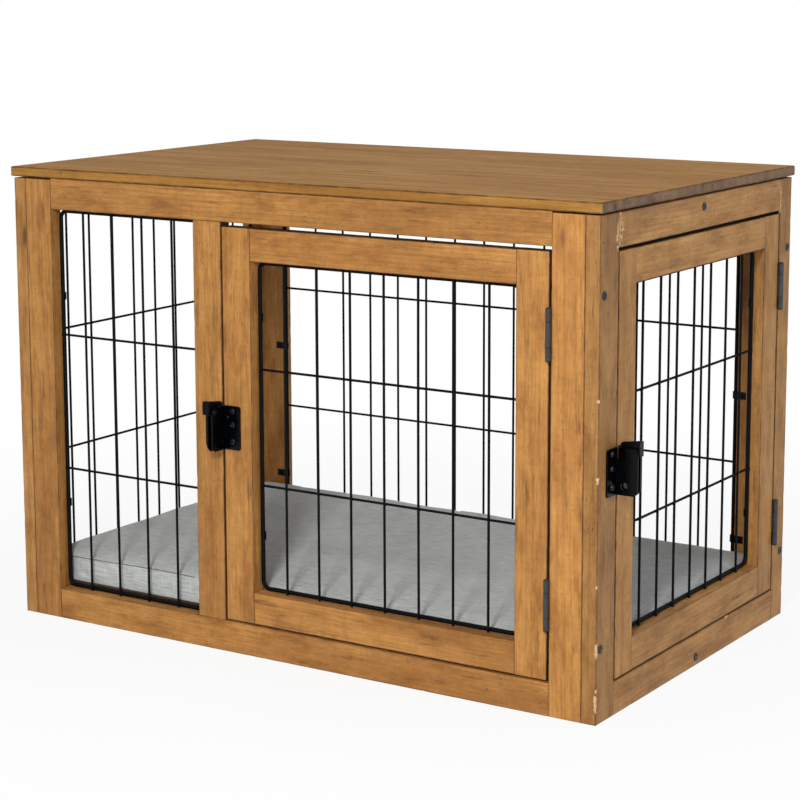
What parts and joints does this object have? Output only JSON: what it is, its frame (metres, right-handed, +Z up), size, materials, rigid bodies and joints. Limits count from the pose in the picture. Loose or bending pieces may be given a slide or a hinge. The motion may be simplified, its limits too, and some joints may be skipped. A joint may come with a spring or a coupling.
{
  "type": "dog crate end table",
  "caption": "Timber pet crate that doubles as an end table: wire-grid windows, a hinged front door and side door with lever latches, a flat table top and a floor cushion.",
  "frame": {"origin": "centre of the case on the floor, midway between the side panels and between the front and back panels", "axes": "+Z up, +X along the length towards the panel with the side door, -Y out of the front with the front door"},
  "size_m": [0.8445, 0.5315, 0.564],
  "materials": {
    "front_timber": "honey stain, satin",
    "side_timber": "honey stain, satin",
    "top_board": "brown stain, satin",
    "floor_board": "dark stain, matt",
    "black_wire": "black powder coat, satin",
    "hinge_steel": "dark grey, satin",
    "latch_steel": "black paint, satin",
    "screw_steel": "black oxide",
    "linen": "light grey plain weave"
  },
  "bodies": {
    "cabin": {"back_bottom_rail": "front_timber", "back_grid": "black_wire", "back_left_stile": "front_timber", "back_right_stile": "front_timber", "back_top_rail": "front_timber", "cabin_grid_clips": "black_wire", "cabin_latch_screws": "screw_steel", "cushion": "linen", "floor_back_cleat": "front_timber", "floor_board": "floor_board", "floor_front_cleat": "front_timber", "floor_middle_rail": "front_timber", "front_bottom_rail": "front_timber", "front_door_hinge_frame_leaves": "hinge_steel", "front_door_hinge_pins": "hinge_steel", "front_door_latch_frame_plate": "latch_steel", "front_left_stile": "front_timber", "front_mullion": "front_timber", "front_right_stile": "front_timber", "front_top_rail": "front_timber", "front_window_grid": "black_wire", "left_bottom_rail": "side_timber", "left_front_stile": "side_timber", "left_rear_stile": "side_timber", "left_side_grid": "black_wire", "left_top_rail": "side_timber", "panel_screws": "screw_steel", "right_bottom_rail": "side_timber", "right_front_stile": "side_timber", "right_rear_stile": "side_timber", "right_top_rail": "side_timber", "side_door_hinge_frame_leaves": "hinge_steel", "side_door_hinge_pins": "hinge_steel", "side_door_latch_frame_plate": "latch_steel", "table_top": "top_board", "top_middle_rail": "front_timber"},
    "front_door": {"front_door_latch_stile": "front_timber", "front_door_hinge_stile": "front_timber", "front_door_top_rail": "front_timber", "front_door_bottom_rail": "front_timber", "front_door_grid": "black_wire", "front_door_grid_clips": "black_wire", "front_door_hinge_door_leaves": "hinge_steel", "front_door_latch_door_plate": "latch_steel", "front_door_latch_screws": "screw_steel", "front_door_latch_pivot": "latch_steel"},
    "side_door": {"side_door_latch_stile": "side_timber", "side_door_hinge_stile": "side_timber", "side_door_top_rail": "side_timber", "side_door_bottom_rail": "side_timber", "side_door_grid": "black_wire", "side_door_grid_clips": "black_wire", "side_door_hinge_door_leaves": "hinge_steel", "side_door_latch_door_plate": "latch_steel", "side_door_latch_screws": "screw_steel", "side_door_latch_pivot": "latch_steel"},
    "front_latch_lever": {"front_door_latch_lever": "latch_steel"},
    "side_latch_lever": {"side_door_latch_lever": "latch_steel"}
  },
  "joints": [
    {"name": "front_door_swing", "type": "hinge", "parent": "cabin", "child": "front_door", "pos_m": [0.3461, -0.2526, 0.2744], "axis": [0, 0, 1], "range_deg": [0, 175]},
    {"name": "side_door_swing", "type": "hinge", "parent": "cabin", "child": "side_door", "pos_m": [0.4091, 0.2146, 0.2734], "axis": [0, 0, 1], "range_deg": [0, 175]},
    {"name": "front_latch_turn", "type": "hinge", "parent": "front_door", "child": "front_latch_lever", "pos_m": [-0.08835, -0.2705, 0.293], "axis": [-1, 0, 0], "range_deg": [0, 24]},
    {"name": "side_latch_turn", "type": "hinge", "parent": "side_door", "child": "side_latch_lever", "pos_m": [0.427, -0.20685, 0.293], "axis": [0, -1, 0], "range_deg": [0, 24]}
  ]
}
